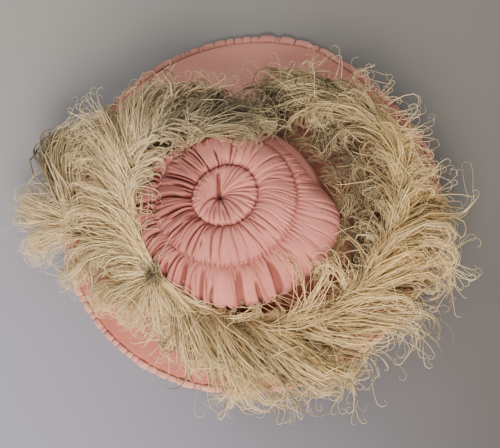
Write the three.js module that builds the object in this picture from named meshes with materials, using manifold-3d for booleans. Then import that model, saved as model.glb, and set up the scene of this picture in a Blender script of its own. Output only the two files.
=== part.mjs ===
// A wide-brimmed picture hat of about 1910, in pink silk with two ostrich plumes.
// Millimetres, +Z up. The hat rests on its rim, +Y is towards the lifted front of the brim.
import * as THREE from "three";
import { mergeVertices } from "three/addons/utils/BufferGeometryUtils.js";
import Module from "manifold-3d";

const wasm = await Module();
wasm.setup();

// Driving dimensions
const CLOTH = 2.4; // thickness of the silk with the stiff net inside it
const GAP = 0.4; // clearance that pieces keep from each other
const BRIM_CENTRE = new THREE.Vector2(-2.7, 9.7); // the brim's middle, seen from above
const CROWN_OFFSET = new THREE.Vector2(-9, -26); // the crown sits towards the back of the brim
const RIM_RADIUS = 203.5;
const RIM_FLAT = 4; // width of the flat strip on which the rim rests
const HEAD_RADIUS = 94; // the opening for the head
const BRIM_TOP = 26; // height of the brim's upper side at the head opening
const FRILL_WIDTH = 8.5; // at the front; it is narrower at the back
const FRILL_NARROW = 7;
const PLEATS = 48; // gathers round the crown

// Where the round shapes leave the circle: how far, and over which degrees to either side
const FRONT = { lift: 5, angle: 95, spread: 70 }; // the rim is lifted off the table
const DENT = { depth: 10, angle: 43, spread: 30 }; // the rim is drawn in
const BULGE = { depth: 10, angle: -10, spread: 34 }; // a puff of the crown stands out
const HUMP_EASE = 1.5; // how softly each of them begins and ends

const crownCentre = BRIM_CENTRE.clone().add(CROWN_OFFSET);
const degrees = THREE.MathUtils.degToRad;
const mix = THREE.MathUtils.lerp;

const silk = new THREE.MeshStandardMaterial({ color: 0xd79a90, roughness: 0.75, metalness: 0 });
const chiffon = new THREE.MeshStandardMaterial({ color: 0xdba198, roughness: 0.8, metalness: 0 });
const feather = new THREE.MeshStandardMaterial({ color: 0xcdb68e, roughness: 0.9, metalness: 0 });

// A closed skin through rings of points. With a first and a last point its ends close there;
// without them the last ring joins the first again, as round a brim.
function loft(rings, first, last) {
  const size = rings[0].length;
  const points = rings.flat();
  const faces = [];
  const bands = first ? rings.length - 1 : rings.length;
  for (let band = 0; band < bands; band++) {
    const a = band * size;
    const b = ((band + 1) % rings.length) * size;
    for (let i = 0; i < size; i++) {
      const j = (i + 1) % size;
      faces.push(a + i, b + i, b + j, a + i, b + j, a + j);
    }
  }
  if (first) {
    const firstIndex = points.push(first) - 1;
    const lastIndex = points.push(last) - 1;
    const end = (rings.length - 1) * size;
    for (let i = 0; i < size; i++) {
      const j = (i + 1) % size;
      faces.push(firstIndex, i, j, end + i, lastIndex, end + j);
    }
  }
  const geometry = new THREE.BufferGeometry().setFromPoints(points);
  geometry.setIndex(faces);
  return facingOut(geometry);
}

// Turns the faces round if the skin encloses a negative volume.
function facingOut(geometry) {
  const at = geometry.getAttribute("position");
  const index = geometry.index.array;
  const [a, b, c] = [new THREE.Vector3(), new THREE.Vector3(), new THREE.Vector3()];
  let volume = 0;
  for (let i = 0; i < index.length; i += 3) {
    a.fromBufferAttribute(at, index[i]);
    b.fromBufferAttribute(at, index[i + 1]);
    c.fromBufferAttribute(at, index[i + 2]);
    volume += a.dot(b.cross(c));
  }
  if (volume < 0) {
    for (let i = 0; i < index.length; i += 3) {
      [index[i + 1], index[i + 2]] = [index[i + 2], index[i + 1]];
    }
  }
  geometry.computeVertexNormals();
  return geometry;
}

function solidOf(geometry) {
  const bare = new THREE.BufferGeometry();
  bare.setAttribute("position", geometry.getAttribute("position").clone());
  bare.setIndex(geometry.index);
  const merged = mergeVertices(bare);
  const vertProperties = merged.getAttribute("position").array;
  const triVerts = new Uint32Array(merged.index.array);
  return new wasm.Manifold(new wasm.Mesh({ numProp: 3, vertProperties, triVerts }));
}

function geometryOf(solid) {
  const mesh = solid.getMesh();
  const geometry = new THREE.BufferGeometry();
  geometry.setAttribute("position", new THREE.BufferAttribute(mesh.vertProperties, 3));
  geometry.setIndex(new THREE.BufferAttribute(mesh.triVerts, 1));
  geometry.computeVertexNormals();
  return geometry;
}

function part(name, geometry, material) {
  const mesh = new THREE.Mesh(geometry, material);
  mesh.name = name;
  return mesh;
}

// One value or point for each of a number of even steps round a circle.
function around(steps, make) {
  return Array.from({ length: steps }, (_, i) => make((i / steps) * 2 * Math.PI, i));
}

// A smooth hump round the circle: 1 at its angle, falling to 0 at its spread.
function hump(angle, place) {
  const limit = Math.cos(degrees(place.spread));
  const near = Math.cos(angle - degrees(place.angle));
  return Math.max(0, (near - limit) / (1 - limit)) ** HUMP_EASE;
}

// Reads a table of rows at a place between them, column by column, in smooth steps.
function readTable(rows, place) {
  const low = Math.min(Math.floor(place), rows.length - 2);
  const step = THREE.MathUtils.smoothstep(place - low, 0, 1);
  const row = {};
  for (const column of Object.keys(rows[low])) {
    row[column] = mix(rows[low][column], rows[low + 1][column], step);
  }
  return row;
}

// The brim: a stiff, dished ring that falls from the crown to a wired rim
const BRIM_STEPS = 68;
const BRIM_DISH = 1.4; // over 1, the brim steepens towards the rim
const BRIM_UPPER = [0, 0.3, 0.6, 0.85, 1]; // rings, as shares of the way to the rim
const BRIM_UNDER = [0.8, 0.55, 0.28, 0];

function rimRadius(angle) {
  return RIM_RADIUS - DENT.depth * hump(angle, DENT);
}

// A point of the brim's upper side: share 0 is the head opening and 1 the rim.
function brimPoint(angle, share, lower = 0) {
  const along = new THREE.Vector2(Math.cos(angle), Math.sin(angle));
  const inner = crownCentre.clone().addScaledVector(along, HEAD_RADIUS);
  const outer = BRIM_CENTRE.clone().addScaledVector(along, rimRadius(angle));
  const at = inner.lerp(outer, share);
  const rimHeight = CLOTH + FRONT.lift * hump(angle, FRONT);
  return new THREE.Vector3(at.x, at.y, mix(BRIM_TOP, rimHeight, share ** BRIM_DISH) - lower);
}

function makeBrim() {
  const flatShare = 1 - RIM_FLAT / (RIM_RADIUS - HEAD_RADIUS);
  const ring = (share, lower) => around(BRIM_STEPS, (angle) => brimPoint(angle, share, lower));
  const upper = BRIM_UPPER.map((share) => ring(share, 0));
  const underside = BRIM_UNDER.map((share) => ring(share, CLOTH));
  // The rim's own underside is level with its edge, so that the hat stands on a flat strip.
  const edge = ring(1, CLOTH);
  const strip = ring(flatShare, 0).map((point, i) => point.setZ(edge[i].z));
  return loft([...upper, edge, strip, ...underside]);
}

// The frill: a doubled strip of chiffon gathered round the rim in uneven puffs
const FRILL_STEPS = 120;
const FRILL_PUFFS = 30;
const FRILL_BEAT = { swing: 2, turns: 3 }; // the puffs crowd and spread as they go round
const FRILL_PINCHED = { width: 0.75, height: 0.8 }; // between two puffs, as shares
const FRILL_PUFFED = { width: 1, height: 1.3 }; // in the middle of a puff
const FRILL_SECTION = [
  // share of the frill's width, and height in mm
  { out: 0, up: 0.8 },
  { out: 0.4, up: 2.1 },
  { out: 1, up: 1 },
  { out: 0.5, up: 0 },
];

function frillPoint(angle, { out, up }) {
  const beat = FRILL_BEAT.swing * Math.sin(FRILL_BEAT.turns * angle);
  const puff = Math.abs(Math.sin((FRILL_PUFFS * angle + beat) / 2));
  const front = hump(angle, FRONT);
  const puffed = (size) => mix(FRILL_PINCHED[size], FRILL_PUFFED[size], puff);
  const width = mix(FRILL_NARROW, FRILL_WIDTH, front) * puffed("width");
  const along = new THREE.Vector2(Math.cos(angle), Math.sin(angle));
  const at = BRIM_CENTRE.clone().addScaledVector(along, rimRadius(angle) + GAP + out * width);
  const height = GAP + FRONT.lift * front + up * puffed("height");
  return new THREE.Vector3(at.x, at.y, height);
}

function makeFrill() {
  return loft(FRILL_SECTION.map((row) => around(FRILL_STEPS, (angle) => frillPoint(angle, row))));
}

// The crown: a soft shell of chiffon, drawn up on two rings of stitches round a pinched middle
const CROWN_PROFILE = [
  // radius and height of the cloth, depth of its gathers, their twist in degrees, share of the bulge
  { radius: 5, height: 99, depth: 0.5, twist: 55, bulge: 0 },
  { radius: 14, height: 106, depth: 1.1, twist: 28, bulge: 0 },
  { radius: 25, height: 107, depth: 1.3, twist: 10, bulge: 0 },
  { radius: 33, height: 102, depth: 0.5, twist: 0, bulge: 0 },
  { radius: 42, height: 104.5, depth: 1.3, twist: 0, bulge: 0 },
  { radius: 58, height: 101, depth: 1.7, twist: 0, bulge: 0 },
  { radius: 73, height: 89, depth: 0.6, twist: 0, bulge: 0.1 },
  { radius: 84, height: 87, depth: 1.8, twist: 0, bulge: 0.5 },
  { radius: 97, height: 75, depth: 2.1, twist: 0, bulge: 0.9 },
  { radius: 105, height: 55, depth: 2.1, twist: 0, bulge: 1 },
  { radius: 104, height: 38, depth: 1.8, twist: 0, bulge: 0.5 },
  { radius: 101, height: BRIM_TOP + GAP, depth: 1.2, twist: 0, bulge: 0 },
];
const LINED_ROWS = [0, 2, 3, 4, 5, 6, 7, 8, 9]; // the inside passes over the small folds
const INNER_RELIEF = 0.5; // share of the gathers' depth that shows inside
const LEVEL_ABOVE = 80; // the crown is nearly level above this height
const PINCH_HEIGHT = 97;
const UNEVEN_PLACE = { swing: 0.02, turns: 5 }; // the gathers are not quite evenly spaced
const UNEVEN_DEPTH = { swing: 0.2, turns: 7 }; // nor equally deep

function aroundCrown(angle, reach, height) {
  const at = new THREE.Vector2(Math.cos(angle), Math.sin(angle)).multiplyScalar(reach);
  return new THREE.Vector3(crownCentre.x + at.x, crownCentre.y + at.y, height);
}

// One ring of the crown. Every other point stands on the ridge of a gather.
function crownRing({ radius, height, depth, twist, bulge }, inward = 0, lower = 0, relief = 1) {
  return around(2 * PLEATS, (even, i) => {
    const drift = UNEVEN_PLACE.swing * Math.sin(UNEVEN_PLACE.turns * even);
    const angle = even + degrees(twist) + drift;
    const change = UNEVEN_DEPTH.swing * (Math.sin(UNEVEN_DEPTH.turns * even) - 1);
    const gather = (i % 2 ? -depth : depth) * (1 + change);
    const puff = BULGE.depth * bulge * hump(angle, BULGE);
    return aroundCrown(angle, radius + puff - inward + gather * relief, height - lower);
  });
}

// The inside follows the outside at the cloth's thickness: straight down where the crown is
// level, and partly inwards where it is steep.
function makeCrown() {
  const outer = CROWN_PROFILE.map((row) => crownRing(row));
  const hem = crownRing(CROWN_PROFILE[CROWN_PROFILE.length - 1], CLOTH, 0, INNER_RELIEF);
  const inner = LINED_ROWS.map((i) => {
    const row = CROWN_PROFILE[i];
    const lower = row.height > LEVEL_ABOVE ? CLOTH : CLOTH / 2;
    return crownRing(row, CLOTH / 1.5, lower, INNER_RELIEF);
  });
  const middle = aroundCrown(0, 0, PINCH_HEIGHT);
  const under = aroundCrown(0, 0, PINCH_HEIGHT - CLOTH);
  return loft([...outer, hem, ...inner.reverse()], middle, under);
}

// The space that the crown and the brim fill, with a little clearance, for trimming the plumes
const SPACE_STEPS = 30;
const CROWN_MARGIN = 2.8;
const BRIM_MARGIN = 2;
const BELOW = -10;
const BEYOND_RIM = 1.6; // how far the space goes on, as a share of the brim's width

function crownSpace() {
  const rings = CROWN_PROFILE.slice(1).map(({ radius, height, bulge }) =>
    around(SPACE_STEPS, (angle) => {
      const puff = BULGE.depth * bulge * hump(angle, BULGE);
      return aroundCrown(angle, radius + puff + CROWN_MARGIN, height + BRIM_MARGIN);
    }),
  );
  rings.push(rings[rings.length - 1].map((point) => point.clone().setZ(BELOW)));
  const top = aroundCrown(0, 0, rings[0][0].z);
  return solidOf(loft(rings, top, top.clone().setZ(BELOW)));
}

// Past the rim the space goes on level, so that the plumes hang no lower than the frill's top.
function brimSpace() {
  const over = (share) => around(SPACE_STEPS, (angle) => brimPoint(angle, share, -BRIM_MARGIN));
  const under = (share) => over(share).map((point) => point.setZ(BELOW));
  const rim = over(1);
  const outside = under(BEYOND_RIM).map((point, i) => point.setZ(rim[i].z));
  return solidOf(loft([over(0), over(0.5), rim, outside, under(BEYOND_RIM), under(0)]));
}

// The plumes: each is a quill with a padded back of down and curling locks of barbs on both sides.
// x, y, z place the quill, measured from the middle of the brim. Then for the outer and the inner
// side: the barbs' length, their splay from the quill at root and tip, and their rise at root and
// tip, the angles in degrees.
const PLUME_COLUMNS =
  "x y z outLong outRoot outTip outRise outFall inLong inRoot inTip inRise inFall".split(" ");

const LONG_PLUME = [
  [-84, -99, 54, 97, 50, 85, 5, -48, 20, 20, 20, 5, 0],
  [-40, -133, 50, 108, 32, 62, 10, -46, 25, 20, 20, 5, 0],
  [14, -151, 48, 116, 25, 52, 12, -46, 40, 25, 70, 20, -10],
  [66, -151, 50, 116, 25, 58, 14, -46, 55, 30, 80, 30, -15],
  [116, -126, 54, 118, 28, 65, 16, -46, 60, 30, 95, 30, -20],
  [150, -82, 58, 112, 32, 72, 16, -46, 70, 30, 105, 30, -25],
  [168, -20, 60, 98, 35, 75, 14, -46, 78, 30, 110, 30, -30],
  [160, 34, 60, 66, 30, 60, 8, -46, 76, 30, 105, 25, -30],
  [138, 70, 58, 66, 25, 42, 4, -42, 74, 25, 80, 15, -30],
  [104, 96, 54, 70, 18, 30, 0, -38, 70, 20, 45, 5, -28],
  [62, 114, 46, 60, 15, 30, 0, -34, 50, 15, 30, 0, -25],
];

const SHORT_PLUME = [
  [-90, -92, 60, 108, 62, 112, 10, -48, 15, 20, 10, 0, 0],
  [-109, -58, 70, 124, 52, 84, 15, -52, 20, 15, 10, 0, 0],
  [-118, -10, 80, 146, 44, 46, 16, -54, 25, 15, 10, 5, 0],
  [-108, 34, 86, 142, 44, 8, 12, -54, 34, 20, 40, 8, -5],
  [-72, 62, 88, 118, 42, 0, 8, -50, 48, 30, 70, 12, -10],
  [-22, 74, 86, 80, 36, 8, 2, -44, 54, 35, 75, 12, -15],
  [22, 72, 78, 56, 26, 10, -5, -40, 48, 25, 55, 4, -25],
];

// Tufts that part from the short plume at its side, through three places each
const SIDE_TUFTS = [
  { width: 15, path: [[-130, -25, 52], [-192, -8, 50], [-228, 50, 52], [-212, 92, 44]] },
  { width: 14, path: [[-130, -40, 50], [-185, -38, 48], [-225, -12, 40], [-246, -20, 28]] },
  { width: 13, path: [[-130, -60, 48], [-176, -62, 44], [-205, -48, 34], [-222, -62, 22]] },
];

const BARB_STEPS = 5;
const LOCK = { sizes: [0.7, 0.95, 1, 0.9, 0.62], crest: 7, rootDepth: 22, tipDepth: 10, sag: 7 };
const LOCK_START = -0.3; // a lock begins inside the back, this share of a step before the quill
const BACK = { steps: 12, sides: 8, halfWidth: 30, bottom: 16, crest: 8, end: 13 };
const BACK_SWELL = { thin: 0.55, from: 0.15 }; // it begins thin and swells along its length
const SMOOTHING = { locks: 1.2, trim: 0.3 }; // detail finer than this is left out
const fromBrim = (x, y, z) => new THREE.Vector3(x + BRIM_CENTRE.x, y + BRIM_CENTRE.y, z);

function plumeRows(table) {
  return table.map((cells) => Object.fromEntries(PLUME_COLUMNS.map((key, i) => [key, cells[i]])));
}

// The quill's own directions at a share of its length: forwards, away from the crown, and up.
function quillFrame(curve, share) {
  const at = curve.getPoint(share);
  const ahead = curve.getTangent(share).setZ(0).normalize();
  const side = new THREE.Vector3(ahead.y, -ahead.x, 0);
  const outwards = new THREE.Vector3(at.x - crownCentre.x, at.y - crownCentre.y, 0);
  if (side.dot(outwards) < 0) side.negate();
  return { at, ahead, side };
}

// The line of a barb: it leaves the quill forwards and sideways, and bends and falls as it goes.
function barbLine(rows, curve, share, sign) {
  const { at, ahead, side } = quillFrame(curve, share);
  const row = readTable(rows, share * (rows.length - 1));
  const [long, root, tip, rise, fall] =
    sign > 0
      ? [row.outLong, row.outRoot, row.outTip, row.outRise, row.outFall]
      : [row.inLong, row.inRoot, row.inTip, row.inRise, row.inFall];
  const points = [at];
  for (let step = 1; step <= BARB_STEPS; step++) {
    const along = (step - 0.5) / BARB_STEPS;
    const splay = degrees(mix(root, tip, along));
    const slope = degrees(mix(rise, fall, along));
    const way = ahead.clone().multiplyScalar(Math.cos(splay));
    way.addScaledVector(side, sign * Math.sin(splay)).multiplyScalar(Math.cos(slope));
    way.z = Math.sin(slope);
    points.push(points[step - 1].clone().addScaledVector(way, long / BARB_STEPS));
  }
  return points;
}

// A lock of barbs: a pointed strip along a line, ridged on top and deep underneath at its root.
function lock(points, width) {
  const up = new THREE.Vector3(0, 0, 1);
  const rings = LOCK.sizes.map((size, i) => {
    const ahead = points[i + 1].clone().sub(points[i]).normalize();
    const across = new THREE.Vector3().crossVectors(ahead, up).normalize();
    const over = new THREE.Vector3().crossVectors(across, ahead);
    const depth = mix(LOCK.rootDepth, LOCK.tipDepth, i / (LOCK.sizes.length - 1));
    return [
      points[i].clone().addScaledVector(across, width * size),
      points[i].clone().addScaledVector(over, LOCK.crest * size),
      points[i].clone().addScaledVector(across, -width * size),
      points[i].clone().addScaledVector(over, -depth * size),
    ];
  });
  const root = points[0].clone().addScaledVector(points[1].clone().sub(points[0]), LOCK_START);
  return solidOf(loft(rings, root, points[points.length - 1]));
}

// The padded back of down, from just above the brim up to the quill.
function plumeBack(curve) {
  const ringAt = (i) => {
    const share = i / BACK.steps;
    const { at, side } = quillFrame(curve, share);
    const swell = Math.sin(Math.PI * Math.min(1, BACK_SWELL.from + share));
    const size = mix(BACK_SWELL.thin, 1, swell);
    const top = at.z + BACK.crest;
    const [middle, halfHeight] = [(top + BACK.bottom) / 2, (top - BACK.bottom) / 2];
    return around(BACK.sides, (turn) => {
      const point = at.clone().addScaledVector(side, Math.cos(turn) * BACK.halfWidth * size);
      return point.setZ(middle + Math.sin(turn) * halfHeight);
    });
  };
  const rings = Array.from({ length: BACK.steps + 1 }, (_, i) => ringAt(i));
  const [start, end] = [0, 1].map((share) => quillFrame(curve, share));
  const first = start.at.addScaledVector(start.ahead, -BACK.end).setZ(start.at.z - BACK.end);
  const last = end.at.addScaledVector(end.ahead, BACK.end).setZ(end.at.z - BACK.end);
  return solidOf(loft(rings, first, last));
}

// Cuts one solid back from another, and from copies of it moved a little to every side.
function clearOf(solid, other) {
  for (const way of [[1, 0, 0], [0, 1, 0], [0, 0, 1]]) {
    for (const sign of [1, -1]) {
      solid = solid.subtract(other.translate(way.map((x) => sign * GAP * x)));
    }
  }
  return solid;
}

// The largest piece of a solid, without the small ends that trimming cuts loose.
function largestPiece(solid) {
  return solid.decompose().sort((a, b) => b.volume() - a.volume())[0];
}

function makePlume(table, locks, tufts, space) {
  const rows = plumeRows(table);
  const curve = new THREE.CatmullRomCurve3(rows.map(({ x, y, z }) => fromBrim(x, y, z)));
  let plume = plumeBack(curve);
  for (const { count, sign, width } of locks) {
    for (let i = 0; i < count; i++) {
      const points = barbLine(rows, curve, (i + 0.5) / count, sign);
      const sag = i % 2 ? 0 : LOCK.sag;
      points.forEach((point, k) => (point.z -= (sag * k) / BARB_STEPS));
      plume = plume.add(lock(points, width));
    }
  }
  for (const { width, path } of tufts) {
    const line = new THREE.CatmullRomCurve3(path.map((place) => fromBrim(...place)));
    plume = plume.add(lock(line.getPoints(BARB_STEPS), width));
  }
  return plume.simplify(SMOOTHING.locks).subtract(space);
}

const space = crownSpace().add(brimSpace());
const longLocks = [
  { count: 18, sign: 1, width: 20 },
  { count: 13, sign: -1, width: 15 },
];
const shortLocks = [
  { count: 13, sign: 1, width: 21 },
  { count: 7, sign: -1, width: 14 },
];
const longTrimmed = makePlume(LONG_PLUME, longLocks, [], space);
const longPlume = largestPiece(longTrimmed.simplify(SMOOTHING.trim));
const shortTrimmed = clearOf(makePlume(SHORT_PLUME, shortLocks, SIDE_TUFTS, space), longPlume);
const shortPlume = largestPiece(shortTrimmed.simplify(SMOOTHING.trim));

const hat = new THREE.Group();
hat.add(part("brim", makeBrim(), silk));
hat.add(part("brim_frill", makeFrill(), chiffon));
hat.add(part("crown", makeCrown(), chiffon));
hat.add(part("long_plume", geometryOf(longPlume), feather));
hat.add(part("short_plume", geometryOf(shortPlume), feather));

export default hat;
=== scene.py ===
import math

import bpy
import numpy as np
from mathutils import Matrix, Vector


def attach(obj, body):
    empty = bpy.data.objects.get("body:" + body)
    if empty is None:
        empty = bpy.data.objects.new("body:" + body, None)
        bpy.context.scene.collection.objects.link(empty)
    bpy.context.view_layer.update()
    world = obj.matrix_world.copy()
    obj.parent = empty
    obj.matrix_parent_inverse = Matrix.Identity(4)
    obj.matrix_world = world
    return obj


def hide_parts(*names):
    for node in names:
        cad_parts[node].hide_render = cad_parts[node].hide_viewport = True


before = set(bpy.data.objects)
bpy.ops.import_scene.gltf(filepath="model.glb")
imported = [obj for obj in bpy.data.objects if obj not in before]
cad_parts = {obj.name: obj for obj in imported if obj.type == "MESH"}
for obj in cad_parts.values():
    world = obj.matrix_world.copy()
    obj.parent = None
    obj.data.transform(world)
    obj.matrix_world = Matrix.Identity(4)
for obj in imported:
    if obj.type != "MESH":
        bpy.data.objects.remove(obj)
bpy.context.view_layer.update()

# The brim: a dished ring of dusty pink silk, laid smoothly over stiff net and turned over a wire
# at its rim. A few soft creases run out from the crown, where the silk was eased round the head,
# and its front is painted paler, as painted light. Sizes are in mm, and angles in degrees
# anticlockwise from +X.


def rows_of(columns, rows):
    """Rows of numbers as dictionaries, with the names of their columns."""
    return [dict(zip(columns.split(), row)) for row in rows]


MM = 0.001
CLOTH = 2.4
BRIM_CENTRE = np.array([-2.7, 9.7])
CROWN_CENTRE = np.array([-11.7, -16.3])
HEAD_RADIUS = 94
RIM_RADIUS = 203.5
BRIM_TOP = 26
BRIM_DISH = 1.4
BRIM_FLAT = 0.963  # from here outwards the underside is level with the rim
BRIM_STEPS = 250
BRIM_RINGS = {"upper": 26, "under": 12}
WIRE_TURN = [0.25, 0.75, 1.0]  # the turn over the wire, as shares of the cloth's thickness
WIRE_STANDS_OUT = 0.5
FRONT = {"lift": 5, "angle": 95, "spread": 70}  # the lifted front
DENT = {"depth": 10, "angle": 43, "spread": 30}  # where the rim is drawn in
HUMP_EASE = 1.5  # above 1, a place fades out more softly at its ends
CREASES = rows_of("angle depth spread", [
    (222, 1.5, 6),
    (233, -1.3, 4),
    (246, 1.0, 5),
    (70, 0.8, 7),
    (98, -0.7, 9),
    (120, 0.8, 6),
    (300, 0.8, 8),
    (350, -0.8, 9),
])
SILK = (0.525, 0.168, 0.125)
SILK_SHADE = (0.45, 0.14, 0.105)
# The paler colour of the brim's front, as painted light, and where it is painted
SILK_PAINTED_LIGHT = (0.74, 0.325, 0.255)
PAINTED_LIGHT_FRONT = {"angle": 100, "spread": 110}
SILK_SHEEN = 0.12


def hump(angle, place):
    """1 at a place round the hat, falling softly to 0 at its spread on either side. The place is
    in degrees and the angle in radians."""
    limit = math.cos(math.radians(place["spread"]))
    near = np.cos(angle - math.radians(place["angle"]))
    return np.maximum(0, (near - limit) / (1 - limit)) ** HUMP_EASE


def rim_radius(angle):
    return RIM_RADIUS - DENT["depth"] * hump(angle, DENT)


def rim_height(angle):
    return CLOTH + FRONT["lift"] * hump(angle, FRONT)


def dished(angle, share):
    """Height of the brim's upper side: share 0 is the head opening and 1 the rim."""
    return BRIM_TOP + (rim_height(angle) - BRIM_TOP) * share**BRIM_DISH


def round_centre(centre, radius, angle, height):
    """Points at a radius and angle round an upright axis, all in millimetres."""
    x = centre[0] + radius * np.cos(angle)
    y = centre[1] + radius * np.sin(angle)
    return np.stack(np.broadcast_arrays(x, y, height), axis=-1)


def brim_points(angle, share, lower=0.0):
    """The brim's upper side, or with lower what lies so far below it."""
    inner = round_centre(CROWN_CENTRE, HEAD_RADIUS, angle, BRIM_TOP)
    outer = round_centre(BRIM_CENTRE, rim_radius(angle), angle, rim_height(angle))
    points = inner + (outer - inner) * np.expand_dims(share, -1)
    points[..., 2] = dished(angle, share) - lower
    return points


def new_piece(name, points, faces, attributes):
    """A smooth mesh object from points in millimetres, with one number per point as attributes."""
    mesh = bpy.data.meshes.new(name)
    mesh.from_pydata((points * MM).tolist(), [], faces)
    mesh.polygons.foreach_set("use_smooth", [True] * len(mesh.polygons))
    for key, values in attributes.items():
        mesh.attributes.new(key, "FLOAT", "POINT").data.foreach_set("value", values.ravel())
    mesh.update()
    piece = bpy.data.objects.new(name, mesh)
    bpy.context.scene.collection.objects.link(piece)
    return piece


def skin_faces(rows, size, closed):
    """Quads between rings of points. A closed skin joins its last ring to the first again."""
    index = np.arange(rows * size).reshape(rows, size)
    here = index if closed else index[:-1]
    there = np.roll(index, -1, axis=0) if closed else index[1:]
    quads = [here, np.roll(here, -1, axis=1), np.roll(there, -1, axis=1), there]
    return np.stack(quads, axis=-1).reshape(-1, 4)


def facing_out(points, faces):
    """Turns the faces round if the closed skin that they make encloses a negative volume."""
    volume = 0
    for a, b, c in ((0, 1, 2), (0, 2, 3)):
        known = [face for face in faces if len(face) > c]
        index = np.array([(face[a], face[b], face[c]) for face in known])
        p, q, r = (points[index[:, i]] for i in range(3))
        volume += np.einsum("ij,ij->", p, np.cross(q, r))
    return faces if volume > 0 else [face[::-1] for face in faces]


def skin(name, rings, attributes):
    """A closed mesh round a ring-shaped piece, through rings of points."""
    points = rings.reshape(-1, 3)
    faces = skin_faces(*rings.shape[:2], closed=True).tolist()
    return new_piece(name, points, facing_out(points, faces), attributes)


def set_inputs(tree, node, values):
    """Gives a node's inputs the output of another node, a colour or a number."""
    for key, value in values.items():
        if isinstance(value, bpy.types.NodeSocket):
            tree.links.new(value, node.inputs[key])
        elif isinstance(value, tuple):
            node.inputs[key].default_value = (*value, 1)
        else:
            node.inputs[key].default_value = value


def add_node(tree, kind, values, **options):
    """A new node with its options and inputs set. It returns the node's outputs."""
    node = tree.nodes.new(kind)
    for key, value in options.items():
        setattr(node, key, value)
    set_inputs(tree, node, values)
    return node.outputs


def calculated(tree, operation, first, second):
    return add_node(tree, "ShaderNodeMath", {0: first, 1: second}, operation=operation)["Value"]


def mixed(tree, share, first, second):
    values = {"Factor": share, "A": first, "B": second}
    return add_node(tree, "ShaderNodeMix", values, data_type="RGBA")["Result"]


def ranged(tree, value, source, target=(0, 1), **options):
    """A value carried over from one range to another."""
    limits = {"From Min": source[0], "From Max": source[1], "To Min": target[0], "To Max": target[1]}
    return add_node(tree, "ShaderNodeMapRange", {"Value": value, **limits}, **options)["Result"]


def attribute(tree, name):
    return add_node(tree, "ShaderNodeAttribute", {}, attribute_name=name)["Fac"]


def new_group(name, colours, numbers):
    """A node group that takes colours and numbers and puts out a colour, roughness and height."""
    group = bpy.data.node_groups.new(name, "ShaderNodeTree")
    socket = group.interface.new_socket
    for key in colours:
        socket(key, in_out="INPUT", socket_type="NodeSocketColor")
    for key in numbers:
        socket(key, in_out="INPUT", socket_type="NodeSocketFloat")
    socket("Colour", in_out="OUTPUT", socket_type="NodeSocketColor")
    socket("Roughness", in_out="OUTPUT", socket_type="NodeSocketFloat")
    socket("Height", in_out="OUTPUT", socket_type="NodeSocketFloat")
    given = group.nodes.new("NodeGroupInput")
    return group, given.outputs, group.nodes.new("NodeGroupOutput")


def cloth_weave():
    """A node group of plain-woven silk: its uneven colour, a second colour of painted light or painted
    shade where its attribute says so, its crossed threads and their height."""
    colours = ("Colour", "Shade", "Painted Shading")
    group, given, result = new_group("cloth_weave", colours, ("Threads per Metre", "Crinkle"))
    place = add_node(group, "ShaderNodeTexCoord", {})["Object"]
    uneven = add_node(group, "ShaderNodeTexNoise", {"Vector": place, "Scale": 14, "Detail": 4})["Fac"]
    colour = mixed(group, ranged(group, uneven, (0.35, 0.65)), given["Colour"], given["Shade"])
    colour = mixed(group, attribute(group, "painted_shading"), colour, given["Painted Shading"])

    threads = []
    for direction in ("X", "Y"):
        values = {"Vector": place, "Scale": given["Threads per Metre"], "Distortion": 1.5, "Detail": 1}
        wave = add_node(group, "ShaderNodeTexWave", values, bands_direction=direction)
        threads.append(wave["Fac"])
    crossed = calculated(group, "MULTIPLY", *threads)
    crinkle = add_node(group, "ShaderNodeTexNoise", {"Vector": place, "Scale": 260, "Detail": 3})["Fac"]
    crinkled = calculated(group, "MULTIPLY", crinkle, given["Crinkle"])
    rough = ranged(group, uneven, (0, 1), (0.78, 0.95))
    height = calculated(group, "ADD", crossed, crinkled)
    set_inputs(group, result, {"Colour": colour, "Roughness": rough, "Height": height})
    return group


WEAVE = cloth_weave()


def new_material(name):
    material = bpy.data.materials.new(name)
    material.use_nodes = True
    return material, material.node_tree, material.node_tree.nodes["Principled BSDF"]


def cloth_material(name, colour, shade, painted_shading, threads, crinkle, relief):
    """A silk cloth: its colour, the shade that it passes into here and there, its colour of painted
    light or shade, its threads per metre, how crinkled it is, and the height of both in metres."""
    material, tree, shader = new_material(name)
    values = {
        "Colour": colour,
        "Shade": shade,
        "Painted Shading": painted_shading,
        "Threads per Metre": threads,
        "Crinkle": crinkle,
    }
    weave = add_node(tree, "ShaderNodeGroup", values, node_tree=WEAVE)
    values = {"Height": weave["Height"], "Distance": relief, "Strength": 0.6}
    bump = add_node(tree, "ShaderNodeBump", values)
    set_inputs(tree, shader, {
        "Base Color": weave["Colour"],
        "Roughness": weave["Roughness"],
        "Normal": bump["Normal"],
        "Specular IOR Level": 0.25,
        "Sheen Weight": SILK_SHEEN,
        "Sheen Roughness": 0.5,
        "Sheen Tint": (1, 0.8, 0.75),
    })
    return material


def around(steps):
    """Even angles round a circle."""
    return np.arange(steps) / steps * 2 * np.pi


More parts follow.
